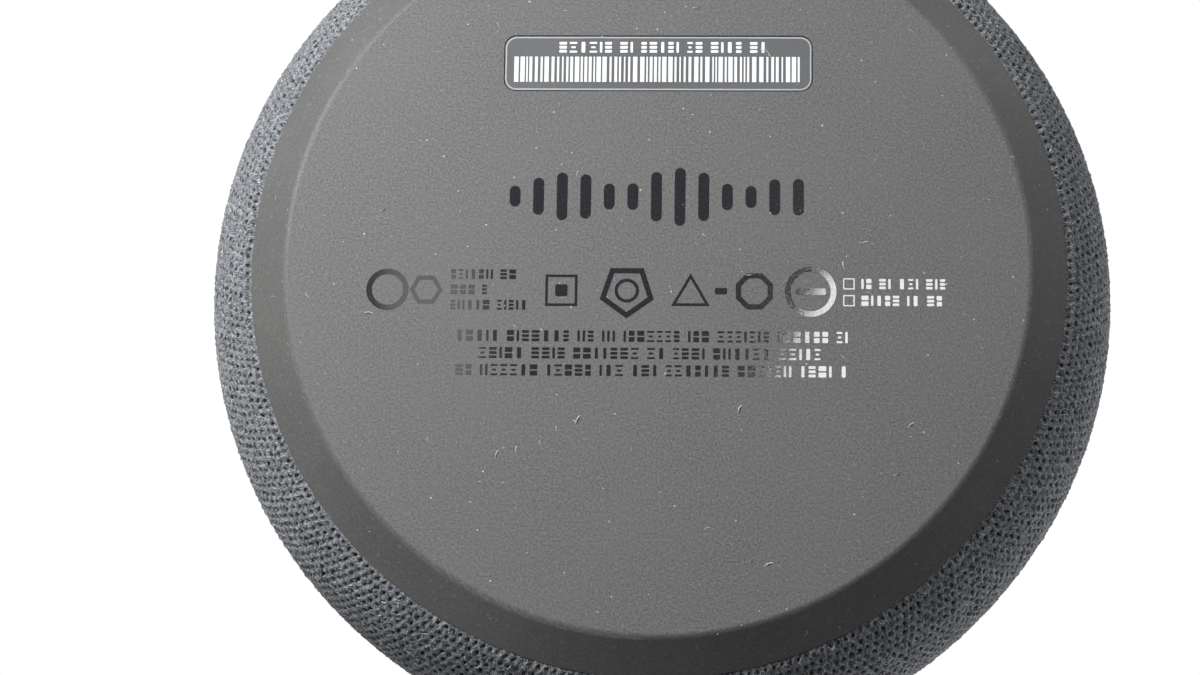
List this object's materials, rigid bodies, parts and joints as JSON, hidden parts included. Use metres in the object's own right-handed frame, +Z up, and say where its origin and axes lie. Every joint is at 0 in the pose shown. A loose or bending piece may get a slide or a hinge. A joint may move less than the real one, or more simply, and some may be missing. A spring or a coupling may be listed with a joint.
{
  "type": "smart speaker",
  "caption": "Low round smart speaker with a knitted side, rubber foot, upward driver, light ring, press buttons and two rear sockets.",
  "frame": {"origin": "centre of the foot's flat underside, on the body's axis", "axes": "+Z up through the top cover, +Y towards the two sockets at the back, +X to the right seen from the front"},
  "size_m": [0.099, 0.099, 0.0433],
  "materials": {
    "foot_rubber": "matt, fine leathery grain",
    "label_film": "satin printed film",
    "adhesive": "tacky acrylic foam",
    "case_plastic": "fine spark-eroded texture",
    "grille_plastic": "plain moulded",
    "knit": "fine warp knit, slightly fuzzy",
    "bezel_plastic": "fine texture",
    "cover_plastic": "smooth satin",
    "light_diffuser": "milky diffusing",
    "button_plastic": "smooth satin",
    "jack_plastic": "glass filled",
    "nickel": "nickel plated",
    "switch_steel": "stamped",
    "board_laminate": "solder mask over copper",
    "can_steel": "tin plated sheet",
    "chip_resin": "moulded resin, laser marked",
    "screw_steel": "black zinc",
    "spreader_alloy": "die cast, bead blasted",
    "thermal_rubber": "soft silicone",
    "box_plastic": "plain moulded",
    "seal_foam": "closed cell foam",
    "basket_steel": "black coat",
    "magnet_ferrite": "ground ferrite",
    "zinc_steel": "clear zinc",
    "cone_paper": "pressed fibre",
    "cap_plastic": "satin",
    "former_foil": "thin foil",
    "copper_wire": "enamelled winding",
    "surround_rubber": "butyl",
    "spider_cloth": "resin-dipped cotton",
    "terminal_board": "phenolic strip",
    "lead_jacket": "soft insulation",
    "grommet_rubber": "plain",
    "ribbon_film": "polyimide film",
    "connector_plastic": "nylon",
    "light_package": "clear resin",
    "microphone_can": "gold flashed",
    "gasket_rubber": "silicone"
  },
  "bodies": {
    "case": {"foot_pad": "foot_rubber", "label_plate": "label_film", "foot_adhesive": "adhesive", "bottom_cover": "case_plastic", "case_screws": "screw_steel", "fabric_sleeve": "knit", "grille_shell": "grille_plastic", "port_bezel": "bezel_plastic", "power_jack": "jack_plastic", "power_jack_pin": "nickel", "audio_jack": "jack_plastic", "main_board": "board_laminate", "shield_cans": "can_steel", "main_chips": "chip_resin", "power_parts": "chip_resin", "lead_socket": "connector_plastic", "thermal_pads": "thermal_rubber", "heat_spreader": "spreader_alloy", "speaker_box_cup": "box_plastic", "speaker_box_seal": "seal_foam", "speaker_box_lid": "box_plastic", "box_screws": "screw_steel", "driver_basket": "basket_steel", "driver_gasket": "seal_foam", "driver_screws": "screw_steel", "driver_top_plate": "zinc_steel", "driver_magnet": "magnet_ferrite", "driver_yoke": "zinc_steel", "driver_terminals": "terminal_board", "driver_surround": "surround_rubber", "driver_spider": "spider_cloth", "speaker_lead": "lead_jacket", "lead_grommet": "grommet_rubber", "top_frame": "case_plastic", "upper_board": "board_laminate", "frame_screws": "screw_steel", "lights": "light_package", "microphones": "microphone_can", "microphone_gaskets": "gasket_rubber", "upper_chips": "chip_resin", "ribbon_cable": "ribbon_film", "lower_ribbon_socket": "connector_plastic", "upper_ribbon_socket": "connector_plastic", "light_ring": "light_diffuser", "top_cover": "cover_plastic", "button_switches": "switch_steel"},
    "volume_up": {"button_volume_up": "button_plastic", "plunger_volume_up": "jack_plastic"},
    "volume_down": {"button_volume_down": "button_plastic", "plunger_volume_down": "jack_plastic"},
    "action": {"button_action": "button_plastic", "plunger_action": "jack_plastic"},
    "microphone_off": {"button_microphone_off": "button_plastic", "plunger_microphone_off": "jack_plastic"},
    "cone": {"driver_cone": "cone_paper", "driver_dust_cap": "cap_plastic", "driver_coil_former": "former_foil", "driver_voice_coil": "copper_wire"}
  },
  "joints": [
    {"name": "volume_up_press", "type": "slide", "parent": "case", "child": "volume_up", "axis": [0, 0, -1], "range_m": [0, 0.00035], "stiffness_N_per_m": 3500},
    {"name": "volume_down_press", "type": "slide", "parent": "case", "child": "volume_down", "axis": [0, 0, -1], "range_m": [0, 0.00035], "stiffness_N_per_m": 3500},
    {"name": "action_press", "type": "slide", "parent": "case", "child": "action", "axis": [0, 0, -1], "range_m": [0, 0.00035], "stiffness_N_per_m": 3500},
    {"name": "microphone_off_press", "type": "slide", "parent": "case", "child": "microphone_off", "axis": [0, 0, -1], "range_m": [0, 0.00035], "stiffness_N_per_m": 3500},
    {"name": "cone_stroke", "type": "slide", "parent": "case", "child": "cone", "axis": [0, 0, 1], "range_m": [-0.0012, 0.0012], "stiffness_N_per_m": 2500, "deforming": ["driver_surround", "driver_spider"]}
  ]
}
